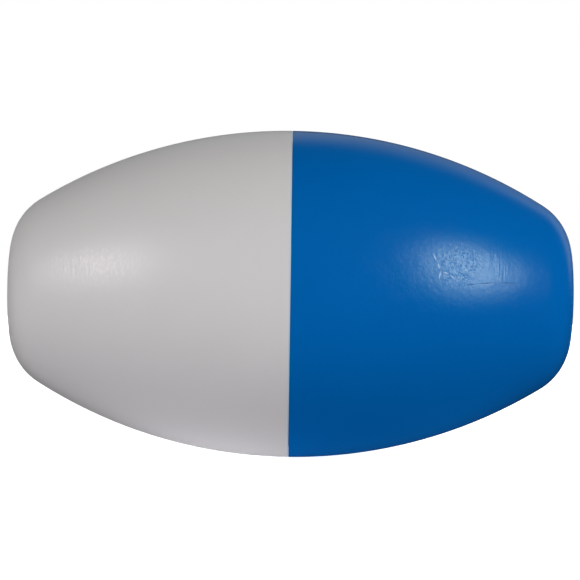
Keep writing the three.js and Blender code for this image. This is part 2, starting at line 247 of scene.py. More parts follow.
WHITE_LEDGE = WHITE_FRONT + BULKHEAD_THICKNESS + WELD_SKIRT + FIT
BLUE_LEDGE = BLUE_FRONT + BULKHEAD_THICKNESS + WELD_SKIRT + FIT
WELD_RADIUS = RIM_INNER_RADIUS - FIT
SKIRT_INNER = WELD_RADIUS - WALL
TUBE_SOCKET = TUBE_OUTER_RADIUS + FIT


def white_bulkhead_outline():
    """Disc, weld skirt, locating lip with the seal's groove, threaded collar and tube socket."""
    back = WHITE_FRONT + BULKHEAD_THICKNESS
    groove_from = -(SEAL_AT - SEAL_GROOVE_WIDTH / 2)
    groove_to = -(SEAL_AT + SEAL_GROOVE_WIDTH / 2)
    groove_floor = LIP_RADIUS - SEAL_GROOVE_DEPTH
    return [
        (back + TUBE_SOCKET_DEPTH, TUBE_SOCKET),
        (back, TUBE_SOCKET),
        (back, TUBE_INNER_RADIUS),
        (WHITE_FRONT, TUBE_INNER_RADIUS),
        (WHITE_FRONT, COLLAR_INNER_RADIUS),
        (-COLLAR_TO, COLLAR_INNER_RADIUS),
        (-COLLAR_TO, COLLAR_OUTER_RADIUS),
        (WHITE_FRONT, COLLAR_OUTER_RADIUS),
        (WHITE_FRONT, LIP_RADIUS - LIP_WALL),
        (-LIP_LENGTH, LIP_RADIUS - LIP_WALL),
        (-LIP_LENGTH, LIP_RADIUS),
        (groove_to, LIP_RADIUS),
        (groove_to, groove_floor),
        (groove_from, groove_floor),
        (groove_from, LIP_RADIUS),
        (LIP_STEP, LIP_RADIUS),
        (LIP_STEP, WELD_RADIUS),
        (back + WELD_SKIRT, WELD_RADIUS),
        (back + WELD_SKIRT, SKIRT_INNER),
        (back, SKIRT_INNER),
        (back, TUBE_SOCKET + TUBE_SOCKET_WALL),
        (back + TUBE_SOCKET_DEPTH, TUBE_SOCKET + TUBE_SOCKET_WALL),
    ]


def blue_bulkhead_outline():
    """Disc, weld skirt, and the deep threaded cup with the snap ring's groove and the tube socket."""
    back = BLUE_FRONT + BULKHEAD_THICKNESS
    cup_back = SOCKET_FLOOR + BULKHEAD_THICKNESS
    groove_radius = SNAP_RING_OUTER_RADIUS + FIT
    return [
        (SOCKET_FROM, SOCKET_INNER_RADIUS),
        (SNAP_RING_FROM - FIT, SOCKET_INNER_RADIUS),
        (SNAP_RING_FROM - FIT, groove_radius),
        (SNAP_RING_TO + FIT, groove_radius),
        (SNAP_RING_TO + FIT, SOCKET_INNER_RADIUS),
        (SOCKET_FLOOR, SOCKET_INNER_RADIUS),
        (SOCKET_FLOOR, TUBE_INNER_RADIUS),
        (cup_back, TUBE_INNER_RADIUS),
        (cup_back, TUBE_SOCKET),
        (cup_back + TUBE_SOCKET_DEPTH, TUBE_SOCKET),
        (cup_back + TUBE_SOCKET_DEPTH, TUBE_SOCKET + TUBE_SOCKET_WALL),
        (cup_back, TUBE_SOCKET + TUBE_SOCKET_WALL),
        (cup_back, SOCKET_OUTER_RADIUS),
        (back, SOCKET_OUTER_RADIUS),
        (back, SKIRT_INNER),
        (back + WELD_SKIRT, SKIRT_INNER),
        (back + WELD_SKIRT, WELD_RADIUS),
        (BLUE_FRONT, WELD_RADIUS),
        (BLUE_FRONT, SOCKET_OUTER_RADIUS),
        (SOCKET_FROM, SOCKET_OUTER_RADIUS),
    ]


def tube_outline(node):
    """A plain pipe, as long as its CAD node."""
    low, high = in_mm(node)
    return [
        (low[0], TUBE_INNER_RADIUS),
        (high[0], TUBE_INNER_RADIUS),
        (high[0], TUBE_OUTER_RADIUS),
        (low[0], TUBE_OUTER_RADIUS),
    ]


def collet_ring_outline():
    """A plain ring whose end narrows to the fingers' necks."""
    chamfer_from = COLLET_RING_TO - COLLET_RING_CHAMFER
    return [
        (COLLET_RING_FROM, LOCK_BORE_RADIUS),
        (chamfer_from, LOCK_BORE_RADIUS),
        (COLLET_RING_TO, NECK_INNER_RADIUS),
        (COLLET_RING_TO, NECK_OUTER_RADIUS),
        (chamfer_from, CLOSING_RING_RADIUS),
        (COLLET_RING_FROM, CLOSING_RING_RADIUS),
    ]


def finger_outer(x):
    """The outside of a closed finger, parallel to the closing ring's taper."""
    return FINGER_TIP_RADIUS + (FINGER_TO - x) * TAPER_SLOPE


def finger_outline():
    """A thin neck, a tapered back, and teeth on the side of the rope."""
    teeth = []
    for i in range(GRIP_TEETH):
        x = FINGER_TO - FIRST_TOOTH_FROM_TIP - i * GRIP_PITCH
        teeth.append((x, GRIP_RADIUS))
        teeth.append((x - GRIP_PITCH, GRIP_RADIUS + GRIP_TOOTH))
    ramp_to = FINGER_NECK_TO + FINGER_RAMP
    tip_from = FINGER_TO - FINGER_TIP_CHAMFER
    return [
        (FINGER_FROM, NECK_INNER_RADIUS),
        (FINGER_FROM, NECK_OUTER_RADIUS),
        (FINGER_NECK_TO, NECK_OUTER_RADIUS),
        (ramp_to, finger_outer(ramp_to)),
        (tip_from, finger_outer(tip_from)),
        (FINGER_TO, FINGER_TIP_RADIUS - FINGER_TIP_CHAMFER),
        (FINGER_TO, GRIP_RADIUS + GRIP_TOOTH),
        *teeth,
        (FINGER_NECK_TO, NECK_INNER_RADIUS),
    ]


def closing_ring_outline():
    """A tapered bore over the fingers, and a flange that is trapped in the blue cup."""
    return [
        (CLOSING_RING_FROM, finger_outer(CLOSING_RING_FROM) + TAPER_CLEARANCE),
        (TAPER_TO, finger_outer(TAPER_TO) + TAPER_CLEARANCE),
        (TAPER_TO, LOCK_BORE_RADIUS),
        (FLANGE_TO, LOCK_BORE_RADIUS),
        (FLANGE_TO, FLANGE_RADIUS),
        (FLANGE_FROM, FLANGE_RADIUS),
        (FLANGE_FROM, CLOSING_RING_RADIUS),
        (CLOSING_RING_FROM, CLOSING_RING_RADIUS),
    ]


def snap_ring_outline():
    """A rectangle. The ring is split after it is turned."""
    return [
        (SNAP_RING_FROM, SNAP_RING_INNER_RADIUS),
        (SNAP_RING_TO, SNAP_RING_INNER_RADIUS),
        (SNAP_RING_TO, SNAP_RING_OUTER_RADIUS),
        (SNAP_RING_FROM, SNAP_RING_OUTER_RADIUS),
    ]


def seal_outline():
    """A circle that fits the lip's groove."""
    centre = (SEAL_AT, LIP_RADIUS - SEAL_GROOVE_DEPTH + SEAL_SECTION_RADIUS + FIT)
    return arc(centre, SEAL_SECTION_RADIUS, 0, 2 * math.pi, SEAL_STEPS)[1:]


# ---- Meshes ------------------------------------------------------------------------------------------


def around(x, radius, angle):
    """A point in metres, at an angle round the X axis from +Y towards +Z."""
    return Vector((x * MM, radius * MM * math.cos(angle), radius * MM * math.sin(angle)))


def shade_smooth(mesh):
    """Smooth shading, except along sharp edges."""
    mesh.polygons.foreach_set("use_smooth", [True] * len(mesh.polygons))
    mesh.set_sharp_from_angle(angle=math.radians(SHARP_ANGLE_DEG))


def finish_mesh(bm, name):
    """The mesh with its faces outwards and its shading smooth, as a scene object."""
    bmesh.ops.recalc_face_normals(bm, faces=bm.faces)
    mesh = bpy.data.meshes.new(name)
    bm.to_mesh(mesh)
    bm.free()
    shade_smooth(mesh)
    piece = bpy.data.objects.new(name, mesh)
    bpy.context.scene.collection.objects.link(piece)
    return piece


def bridge(bm, one, two):
    """Faces between two closed rings of as many points."""
    for j in range(len(one)):
        k = (j + 1) % len(one)
        bm.faces.new((one[j], one[k], two[k], two[j]))


def lofted(bm, slices, name):
    """The solid that runs through closed slices, with a face on each end."""
    for one, two in zip(slices, slices[1:]):
        bridge(bm, one, two)
    bm.faces.new(slices[0])
    bm.faces.new(slices[-1])
    bmesh.ops.triangulate(bm, faces=[f for f in bm.faces if len(f.verts) > 4])
    return finish_mesh(bm, name)


def turned(name, outline, segments=INNER_SEGMENTS):
    """The closed outline turned round the X axis."""
    bm = bmesh.new()
    rings = []
    for i in range(segments):
        angle = 2 * math.pi * i / segments
        rings.append([bm.verts.new(around(x, r, angle)) for x, r in outline])
    for i, ring in enumerate(rings):
        bridge(bm, ring, rings[(i + 1) % segments])
    return finish_mesh(bm, name)


def block(name, x_from, x_to, near, far, width, angle):
    """A block on one side of the X axis, for cutting keyways and adding keys."""
    bm = bmesh.new()
    bmesh.ops.create_cube(bm, size=1.0)
    size = Vector((x_to - x_from, far - near, width)) * MM
    middle = Vector(((x_from + x_to) / 2, (near + far) / 2, 0.0)) * MM
    turn = Matrix.Rotation(angle, 4, "X")
    bm.transform(turn @ Matrix.Translation(middle) @ Matrix.Diagonal((*size, 1.0)))
    return finish_mesh(bm, name)


def rib(name, inner, outer, phase, crest_outside):
    """One helical rib, with flanks that lean in towards its crest."""
    turn = 2 * math.pi * (THREAD_TO - THREAD_FROM - RIB_WIDTH) / THREAD_LEAD
    steps = round(turn / (2 * math.pi) * INNER_SEGMENTS)
    middle = (THREAD_FROM + THREAD_TO) / 2
    half_root = RIB_WIDTH / 2
    half_crest = half_root - RIB_TAPER
    half_inner, half_outer = (half_root, half_crest) if crest_outside else (half_crest, half_root)
    section = [(-half_inner, inner), (half_inner, inner), (half_outer, outer), (-half_outer, outer)]
    bm = bmesh.new()
    slices = []
    for i in range(steps + 1):
        wound = turn * (i / steps - 0.5)
        at = middle + wound / (2 * math.pi) * THREAD_LEAD
        slices.append([bm.verts.new(around(at + dx, r, phase + wound)) for dx, r in section])
    return lofted(bm, slices, name)


def combined(piece, tools, operation):
    """Cuts the tools out of the piece, or joins them to it, and removes the tools."""
    bm = bmesh.new()
    for tool in tools:
        bm.from_mesh(tool.data)
        bpy.data.objects.remove(tool)
    all_tools = finish_mesh(bm, "tools")
    change = piece.modifiers.new("change", "BOOLEAN")
    change.operation = operation
    change.solver = "MANIFOLD"
    change.object = all_tools
    graph = bpy.context.evaluated_depsgraph_get()
    result = bpy.data.meshes.new_from_object(piece.evaluated_get(graph), depsgraph=graph)
    piece.modifiers.clear()
    piece.data = result
    shade_smooth(result)
    bpy.data.objects.remove(all_tools)


def key_angles():
    """Where the keys and keyways are, round the X axis."""
    return [FIRST_KEY_ANGLE + i * 2 * math.pi / KEYS for i in range(KEYS)]


def rib_phases(offset):
    """Where the thread's ribs start, round the X axis. An offset of 0.5 is halfway between two ribs."""
    return [(i + offset) * 2 * math.pi / THREAD_STARTS for i in range(THREAD_STARTS)]


def finger_mesh(name, turn):
    """One finger between two flat sides. Its angular width at each radius leaves the slot parallel."""
    outline = rounded(finger_outline(), FINGER_ROUNDING, steps=3)
    bm = bmesh.new()
    slices = []
    for i in range(FINGER_STEPS + 1):
        across = 2 * i / FINGER_STEPS - 1
        ring = []
        for x, r in outline:
            half = math.pi / FINGERS - math.asin(FINGER_SLOT / 2 / r)
            ring.append(bm.verts.new(around(x, r, turn + across * half)))
        slices.append(ring)
    return lofted(bm, slices, name)


# ---- Materials ---------------------------------------------------------------------------------------

# Sizes, widths and depths are in millimetres.
MIDDLE = (0.3, 0.7)  # what smooth noise mostly lies between
DRIFT_SIZE = 38.0
HAZE_SIZE = 5.0
HAZE_SWING = 0.03  # how far the roughness strays
SINK_SIZE = 9.0
SINK_DEPTH = 0.06
PEEL_SIZE = 2.2
GRAIN_SIZE = 1.0
# How far the painted light and shade at the rim reach out from the seam.
PAINTED_RIM_FROM = 0.3
PAINTED_RIM_TO = 1.0
END_WEAR_FROM = 2.5  # back from the end face
END_WEAR_TO = 0.4
END_SCRATCH_SIZE = 0.8
END_SCRATCH_RANGE = (0.35, 0.65)  # the noise between them runs from unscratched to scratched
END_SCRATCH_DEPTH = 0.03
END_ROUGHENING = 0.25  # added to the roughness
LINE_SIZE = 0.9
# Where the painted glints begin and end in their noise.
GLINT_RANGE = (0.48, 0.62)
BREAK_SIZE = 1.1
BREAK_RANGE = (0.15, 0.36)
CRACKLE_SIZE = 1.5
CRACKLE_WIDTH = 0.05  # in the noise's own height
CRACKLE_DEPTH = 0.034
CRACKLE_POLISH = 0.04  # taken off the roughness between the lines
CRACKLE_MATT = 0.34  # added to it on them
ROUGHEST = 0.9
POLYETHYLENE_IOR = 1.4
FLOW_SIZE = 9.0
SPARK_SIZE = 0.35
SPARK_DEPTH = 0.008
SPARK_SMOOTHER = 0.06  # how far the roughness strays each way
SPARK_ROUGHER = 0.08

# Marks on the front. Each reaches through the wall along Y, as far as FRONT_DEPTH from FRONT_Y.
FRONT_Y = -50.0
FRONT_DEPTH = 40.0

# Patches, as a centre and radii.
# The white patch is where the highlight falls: streaks and painted glints.
WHITE_STREAKS_AND_GLINTS = ((-77.0, FRONT_Y, 11.5), (26.0, FRONT_DEPTH, 9.5))
# The next patch is where the blue highlight gets a painted haze.
BLUE_PAINTED_HAZE_PATCH = ((68.0, FRONT_Y, 11.0), (33.0, FRONT_DEPTH, 17.0))
# The crackle patch also holds painted glints.
BLUE_CRACKLE_AND_GLINTS = ((64.5, FRONT_Y, 12.5), (12.5, FRONT_DEPTH, 10.5))
BLUE_LINED = ((80.0, FRONT_Y, 14.0), (9.0, FRONT_DEPTH, 10.0))

# Scratches, as strokes between two (x, z) points.
STAR_WIDTH = 0.8
STAR_HEIGHT = 0.05
STAR = (
    ((58.7, 11.5), (57.7, 7.2)),
    ((58.4, 11.5), (57.0, 14.2)),
    ((57.0, 14.2), (55.3, 18.1)),
    ((59.3, 10.5), (61.8, 9.6)),
    ((61.8, 9.6), (64.7, 7.3)),
)
FOLD_WIDTH = 0.75
FOLD_HEIGHT = -0.03
FOLD = (
    ((68.5, 5.0), (72.9, 5.8)),
    ((72.9, 5.8), (81.4, 6.3)),
    ((81.4, 6.3), (90.9, 6.0)),
)


def new_material(name):
    """A material whose tree holds a Principled BSDF, which is returned with it."""
    material = bpy.data.materials.new(name)
    material.use_nodes = True
    return material, material.node_tree, material.node_tree.nodes["Principled BSDF"]


def put(tree, kind, inputs=None, **settings):
    """A node with its settings. An input's value may be a number, a colour or another node's output."""
    node = tree.nodes.new(kind)
    for key, value in settings.items():
        setattr(node, key, value)
    for key, value in (inputs or {}).items():
        if isinstance(value, bpy.types.NodeSocket):
            tree.links.new(value, node.inputs[key])
        else:
            node.inputs[key].default_value = value
    return node


def place(tree):
    """Coordinates on the object itself, in metres."""
    return put(tree, "ShaderNodeTexCoord").outputs["Object"]


def noise(tree, where, size_mm, detail=2.0, distortion=0.0, rough=0.5):
    """Smooth noise whose features are about size_mm across, from 0 to 1."""
    return put(
        tree,
        "ShaderNodeTexNoise",
        {
            "Vector": where,
            "Scale": 1 / (size_mm * MM),
            "Detail": detail,
            "Distortion": distortion,
            "Roughness": rough,
        },
    ).outputs["Fac"]


def spread(tree, value, low, high, to_low=0.0, to_high=1.0):
    """The value moved from one range to another, and kept inside it."""
    return put(
        tree,
        "ShaderNodeMapRange",
        {"Value": value, "From Min": low, "From Max": high, "To Min": to_low, "To Max": to_high},
        clamp=True,
    ).outputs["Result"]


def maths(tree, operation, a, b=0.0):
    """The result of one operation, on numbers or on other nodes' outputs."""
    return put(tree, "ShaderNodeMath", {0: a, 1: b}, operation=operation).outputs["Value"]


def blend_colour(tree, factor, a, b):
    """Colour a where the factor is 0, and b where it is 1."""
    node = put(tree, "ShaderNodeMix", {"Factor": factor}, data_type="RGBA")
    for key, value in (("A", a), ("B", b)):
        socket = [s for s in node.inputs if s.name == key and s.type == "RGBA"][0]
        if isinstance(value, bpy.types.NodeSocket):
            tree.links.new(value, socket)
        else:
            socket.default_value = (*value, 1.0)
    return [s for s in node.outputs if s.type == "RGBA"][0]


def bump(tree, height, depth_mm, before=None):
    """A bump whose height of 1 stands depth_mm above the surface."""
    node = put(tree, "ShaderNodeBump", {"Height": height, "Distance": depth_mm * MM, "Strength": 1.0})
    if before is not None:
        tree.links.new(before, node.inputs["Normal"])
    return node.outputs["Normal"]


def stretched(tree, where, along_x, along_y, along_z):
    """The coordinates scaled on each axis, to draw a texture out the other way."""
    scale = (along_x, along_y, along_z)
    return put(tree, "ShaderNodeMapping", {"Vector": where, "Scale": scale}).outputs["Vector"]


def near(tree, where, centre_mm, radii_mm, soft=0.5):
    """1 inside an ellipsoid, fading to 0 at its surface."""
    shift = tuple(-c / r for c, r in zip(centre_mm, radii_mm))
    scale = tuple(1 / (r * MM) for r in radii_mm)
    moved = put(tree, "ShaderNodeMapping", {"Vector": where, "Location": shift, "Scale": scale})
    size = put(tree, "ShaderNodeVectorMath", {0: moved.outputs["Vector"]}, operation="LENGTH")
    return spread(tree, size.outputs["Value"], 1 - soft, 1.0, 1.0, 0.0)


def mark(tree, where, start_mm, end_mm, width_mm):
    """1 along a short straight mark on the float's front, between two (x, z) points."""
    run, rise = end_mm[0] - start_mm[0], end_mm[1] - start_mm[1]
    centre = ((start_mm[0] + end_mm[0]) / 2, FRONT_Y, (start_mm[1] + end_mm[1]) / 2)
    turned_back = put(
        tree,
        "ShaderNodeVectorRotate",
        {
            "Vector": where,
            "Center": tuple(c * MM for c in centre),
            "Axis": (0.0, 1.0, 0.0),
            "Angle": math.atan2(rise, run),
        },
    )
    radii = (math.hypot(run, rise) / 2, FRONT_DEPTH, width_mm / 2)
    return near(tree, turned_back.outputs["Vector"], centre, radii, soft=0.7)


def winding_lines(tree, where, size_mm, width):
    """1 on the winding lines where smooth noise crosses its middle value."""
    wave = noise(tree, where, size_mm, detail=1.0, distortion=1.2)
    away = maths(tree, "ABSOLUTE", maths(tree, "SUBTRACT", wave, 0.5))
    return spread(tree, away, 0.0, width, 1.0, 0.0)


class Moulded:
    """Satin moulded polyethylene: colour drift, uneven gloss, orange peel, scuffed end faces, and a rim
    tone that is painted light on the white half and painted shade on the blue.
    """

    def __init__(self, name, colour, deep, painted_rim_light_and_shade, roughness, peel_depth, grain_depth):
        self.material, self.tree, self.shader = new_material(name)
        tree = self.tree
        self.where = place(tree)
        drift = noise(tree, self.where, DRIFT_SIZE, detail=3.0)
        self.tone = blend_colour(tree, spread(tree, drift, *MIDDLE), colour, deep)
        haze = noise(tree, self.where, HAZE_SIZE, detail=4.0, rough=0.6)
        self.rough = spread(tree, haze, *MIDDLE, roughness - HAZE_SWING, roughness + HAZE_SWING)
        self.surface = bump(tree, noise(tree, self.where, SINK_SIZE, detail=1.0), SINK_DEPTH)
        self.raise_by(noise(tree, self.where, PEEL_SIZE, detail=2.0), peel_depth)
        self.raise_by(noise(tree, self.where, GRAIN_SIZE, detail=1.0), grain_depth)
        self.wear_ends_and_paint_rim(painted_rim_light_and_shade)

    def raise_by(self, height, depth_mm):
        """Adds a bump to the surface."""
        self.surface = bump(self.tree, height, depth_mm, self.surface)

    def tint(self, mask, tone):
        """Gives the plastic another tone where the mask is 1."""
        self.tone = blend_colour(self.tree, mask, self.tone, tone)

    def drawn_noise(self, drawn_out):
        """Fine noise whose features are drawn_out times as long round the float as along it."""
        squeeze = 1 / drawn_out
        where = stretched(self.tree, self.where, 1.0, squeeze, squeeze)
        return noise(self.tree, where, LINE_SIZE, detail=2.0)

    def wear_ends_and_paint_rim(self, painted_rim_light_and_shade):
        """The rim's tone is painted: painted light on the white half, painted shade on the blue. The
        end faces are scuffed by what bears on them.
        """
        tree = self.tree
        x = put(tree, "ShaderNodeSeparateXYZ", {0: self.where}).outputs["X"]
        out = maths(tree, "ABSOLUTE", x)
        rim = spread(tree, out, PAINTED_RIM_FROM * MM, PAINTED_RIM_TO * MM, 1.0, 0.0)
        # Painted light on the white half's rim, painted shade on the blue half's rim.
        self.tint(rim, painted_rim_light_and_shade)
        end = spread(tree, out, (HALF_LENGTH - END_WEAR_FROM) * MM, (HALF_LENGTH - END_WEAR_TO) * MM)
        scratches = noise(tree, self.where, END_SCRATCH_SIZE, detail=3.0, rough=0.7)
        scuffed = maths(tree, "MULTIPLY", end, spread(tree, scratches, *END_SCRATCH_RANGE))
        self.rough = maths(tree, "ADD", self.rough, maths(tree, "MULTIPLY", scuffed, END_ROUGHENING))
        self.raise_by(scuffed, END_SCRATCH_DEPTH)

    def ring_lines(self, mask, depth_mm, drawn_out=11.0):
        """Fine lines round the float, from handling it."""
        lines = self.drawn_noise(drawn_out)
        self.raise_by(maths(self.tree, "MULTIPLY", lines, mask), depth_mm)

    def painted_glints(self, mask, tone, drawn_out=2.0):
        """Short pale specks round the float: painted glints that mottle a highlight."""
        specks = spread(self.tree, self.drawn_noise(drawn_out), *GLINT_RANGE)
        self.tint(maths(self.tree, "MULTIPLY", specks, mask), tone)

    def crackle(self, mask):
        """A fine matt net in a skin that is polished between its lines."""
        tree = self.tree
        net = winding_lines(tree, self.where, CRACKLE_SIZE, CRACKLE_WIDTH)
        lines = maths(tree, "MULTIPLY", net, mask)
        polish = maths(tree, "MULTIPLY", mask, CRACKLE_POLISH)
        self.rough = maths(tree, "SUBTRACT", self.rough, polish)
        self.rough = maths(tree, "ADD", self.rough, maths(tree, "MULTIPLY", lines, CRACKLE_MATT))
        self.raise_by(maths(tree, "MULTIPLY", lines, -1.0), CRACKLE_DEPTH)

    def scratches(self, strokes, width_mm, colour, height_mm):
        """Raised or sunk strokes on the front, each in a given colour, with small breaks in them. A
        sunk fold's colour is painted shade.
        """
        tree = self.tree
        for start, end in strokes:
            broken = spread(tree, noise(tree, self.where, BREAK_SIZE, detail=2.0), *BREAK_RANGE)
            line = mark(tree, self.where, start, end, width_mm)
            line = maths(tree, "MULTIPLY", line, broken)
            self.tint(line, colour)
            self.raise_by(line, height_mm)

    def finish(self):
        """The material, with everything linked to its shader."""
        tree, inputs = self.tree, self.shader.inputs
        tree.links.new(self.tone, inputs["Base Color"])
        tree.links.new(maths(tree, "MINIMUM", self.rough, ROUGHEST), inputs["Roughness"])
        tree.links.new(self.surface, inputs["Normal"])
        inputs["IOR"].default_value = POLYETHYLENE_IOR
        return self.material


def plain_moulding(name, colour, deep, roughness):
    """An inner moulding: flow marks in its colour and a fine spark-eroded texture."""
    material, tree, shader = new_material(name)
    where = place(tree)
    flow = noise(tree, where, FLOW_SIZE, detail=4.0, distortion=0.8)
    tone = blend_colour(tree, spread(tree, flow, *MIDDLE), colour, deep)
    spark = noise(tree, where, SPARK_SIZE, detail=2.0)
    rough = spread(tree, spark, *MIDDLE, roughness - SPARK_SMOOTHER, roughness + SPARK_ROUGHER)
    tree.links.new(tone, shader.inputs["Base Color"])
    tree.links.new(rough, shader.inputs["Roughness"])
    tree.links.new(bump(tree, spark, SPARK_DEPTH), shader.inputs["Normal"])
    return material


# Each plastic drifts between its colour and a deep one.
WHITE = (0.745, 0.722, 0.718)
WHITE_DEEP = (0.735, 0.712, 0.708)
# Painted light: a pale bluish glow on the white half's rim, cast by the blue half beside it.
WHITE_RIM_PAINTED_LIGHT = (0.60, 0.70, 0.80)
# Painted glints: pale specks in the white highlight's mottle.
WHITE_PAINTED_GLINT = (0.82, 0.78, 0.765)
BLUE = (0.0, 0.140, 0.49)
BLUE_DEEP = (0.0, 0.134, 0.475)
# Painted shade: the blue half's rim is darker beside the seam.
BLUE_RIM_PAINTED_SHADE = (0.0, 0.148, 0.43)
BLUE_GLOSS_TINT = (0.81, 1.0, 1.0, 1.0)  # its highlights are a little cyan
# Painted highlight: a lighter blue where the key light's haze falls.
BLUE_PAINTED_HAZE = (0.0, 0.165, 0.505)
# Painted glints: paler specks that brighten the blue highlight between the crackle's lines.
BLUE_PAINTED_GLINT = (0.075, 0.25, 0.57)
SCRATCH = (0.41, 0.58, 0.84)
# Painted shade along the fold below the blue highlight.
CREASE_PAINTED_SHADE = (0.0, 0.10, 0.36)
ACETAL = (0.78, 0.77, 0.71)
ACETAL_DEEP = (0.72, 0.70, 0.62)
NYLON = (0.03, 0.032, 0.035)
NYLON_DEEP = (0.02, 0.021, 0.024)
RUBBER = (0.012, 0.012, 0.012)
RUBBER_DEEP = (0.007, 0.007, 0.007)


def make_white_plastic():
    """The patch on the white half's front, where its highlight falls, has faint streaks round the float
    and painted glints.
    """
    plastic = Moulded(
        "white_plastic",
        WHITE,
        WHITE_DEEP,
        WHITE_RIM_PAINTED_LIGHT,
        roughness=0.31,
        peel_depth=0.035,
        grain_depth=0.012,
    )
    streaks_and_glints = near(plastic.tree, plastic.where, *WHITE_STREAKS_AND_GLINTS, soft=0.7)
    plastic.ring_lines(streaks_and_glints, depth_mm=0.22)
    # Painted glints: pale specks that mottle the highlight.
    plastic.painted_glints(streaks_and_glints, WHITE_PAINTED_GLINT)
    return plastic.finish()


def make_blue_plastic():
    """The blue front patch is crackled, lined and scratched, with a painted highlight haze and glints,
    and painted shade in its fold.
    """
    plastic = Moulded(
        "blue_plastic",
        BLUE,
        BLUE_DEEP,
        BLUE_RIM_PAINTED_SHADE,
        roughness=0.21,
        peel_depth=0.06,
        grain_depth=0.025,
    )
    tree, where = plastic.tree, plastic.where
    crackle_and_glints = near(tree, where, *BLUE_CRACKLE_AND_GLINTS, soft=0.4)
    # A painted highlight haze: lighter blue over the key light's reflection.
    plastic.tint(near(tree, where, *BLUE_PAINTED_HAZE_PATCH, soft=0.6), BLUE_PAINTED_HAZE)
    # Painted glints in the crackle patch, which brighten the highlight.
    plastic.painted_glints(crackle_and_glints, BLUE_PAINTED_GLINT)
    plastic.crackle(crackle_and_glints)
    plastic.ring_lines(near(tree, where, *BLUE_LINED, soft=0.6), depth_mm=0.13, drawn_out=8.0)
    plastic.scratches(STAR, STAR_WIDTH, SCRATCH, STAR_HEIGHT)
    # The fold is a groove with painted shade along it.
    plastic.scratches(FOLD, FOLD_WIDTH, CREASE_PAINTED_SHADE, FOLD_HEIGHT)
    plastic.shader.inputs["Specular Tint"].default_value = BLUE_GLOSS_TINT
    return plastic.finish()


white_plastic = make_white_plastic()
blue_plastic = make_blue_plastic()
lock_plastic = plain_moulding("lock_plastic", ACETAL, ACETAL_DEEP, roughness=0.5)
snap_ring_plastic = plain_moulding("snap_ring_plastic", NYLON, NYLON_DEEP, roughness=0.45)
seal_rubber = plain_moulding("seal_rubber", RUBBER, RUBBER_DEEP, roughness=0.72)


# ---- Pieces ------------------------------------------------------------------------------------------


def settle(piece, node, body, material):
    """The piece stands for a CAD node, rides on its body, and takes its slot's material."""
    piece.data.materials.clear()
    piece.data.materials.append(material)
    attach(piece, body)
    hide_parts(node)


def make_shells():
    """The two outer cups. The white one has its ledge nearer to the seam."""
    white_outline = mirrored(rounded(shell_outline(WHITE_LEDGE), RIM_ROUNDING))
    blue_outline = rounded(shell_outline(BLUE_LEDGE), RIM_ROUNDING)
    white = turned("white_shell_skin", white_outline, SHELL_SEGMENTS)
    blue = turned("blue_shell_skin", blue_outline, SHELL_SEGMENTS)
    settle(white, "white_shell", "white_half", white_plastic)
    settle(blue, "blue_shell", "blue_half", blue_plastic)


def make_tubes():
    """The pipe through each half."""
    for colour, material in (("white", white_plastic), ("blue", blue_plastic)):
        node = f"{colour}_rope_tube"
        tube = turned(f"{colour}_tube", rounded(tube_outline(node), ROUNDING))
        settle(tube, node, f"{colour}_half", material)


def make_white_bulkhead():
    """The disc with its threaded collar, and keyways cut in the collar's bore."""
    disc = turned("white_bulkhead_moulding", mirrored(rounded(white_bulkhead_outline(), ROUNDING)))
    ribs = [
        rib(f"rib_{i}", COLLAR_OUTER_RADIUS - RIB_ROOT, SPIGOT_RIB_RADIUS, phase, crest_outside=True)
        for i, phase in enumerate(rib_phases(0.0))
    ]
    combined(disc, ribs, "UNION")
    inner = COLLAR_INNER_RADIUS - CUT_PAST
    x_to = COLLAR_TO + CUT_PAST
    keyways = [
        block(f"keyway_{i}", -WHITE_FRONT, x_to, inner, KEYWAY_RADIUS, KEYWAY_WIDTH, angle)
        for i, angle in enumerate(key_angles())
    ]
    combined(disc, keyways, "DIFFERENCE")
    settle(disc, "white_bulkhead", "white_half", white_plastic)


def make_blue_bulkhead():
    """The disc with its deep cup, whose thread runs between the collar's."""
    cup = turned("blue_bulkhead_moulding", rounded(blue_bulkhead_outline(), ROUNDING))
    ribs = [
        rib(f"rib_{i}", SOCKET_RIB_RADIUS, SOCKET_INNER_RADIUS + RIB_ROOT, phase, crest_outside=False)
        for i, phase in enumerate(rib_phases(0.5))
    ]
    combined(cup, ribs, "UNION")
    settle(cup, "blue_bulkhead", "blue_half", blue_plastic)


def add_keys(ring, x_from, x_to):
    """Gives the ring a key for each keyway of the collar."""
    root = CLOSING_RING_RADIUS - CUT_PAST
    keys = [
        block(f"key_{i}", x_from, x_to, root, KEY_RADIUS, KEY_WIDTH, angle)
        for i, angle in enumerate(key_angles())
    ]
    combined(ring, keys, "UNION")


def make_collet_ring():
    """The base of the fingers, which is keyed into the collar."""
    base = turned("collet_base", rounded(collet_ring_outline(), ROUNDING))
    add_keys(base, COLLET_RING_FROM, COLLET_RING_TO - COLLET_RING_CHAMFER)
    settle(base, "collet_ring", "white_half", lock_plastic)


def make_closing_ring():
    """The keyed ring that slides over the fingers."""
    ring = turned("closing_ring_moulding", rounded(closing_ring_outline(), ROUNDING))
    add_keys(ring, CLOSING_RING_FROM, KEY_TO)
    settle(ring, "closing_ring", "closing_ring", lock_plastic)


def make_fingers():
    """The toothed fingers that grip the rope."""
    for i in range(FINGERS):
        finger = finger_mesh(f"grip_finger_{i + 1}", i * 2 * math.pi / FINGERS)
        settle(finger, f"collet_finger_{i + 1}", f"finger_{i + 1}", lock_plastic)


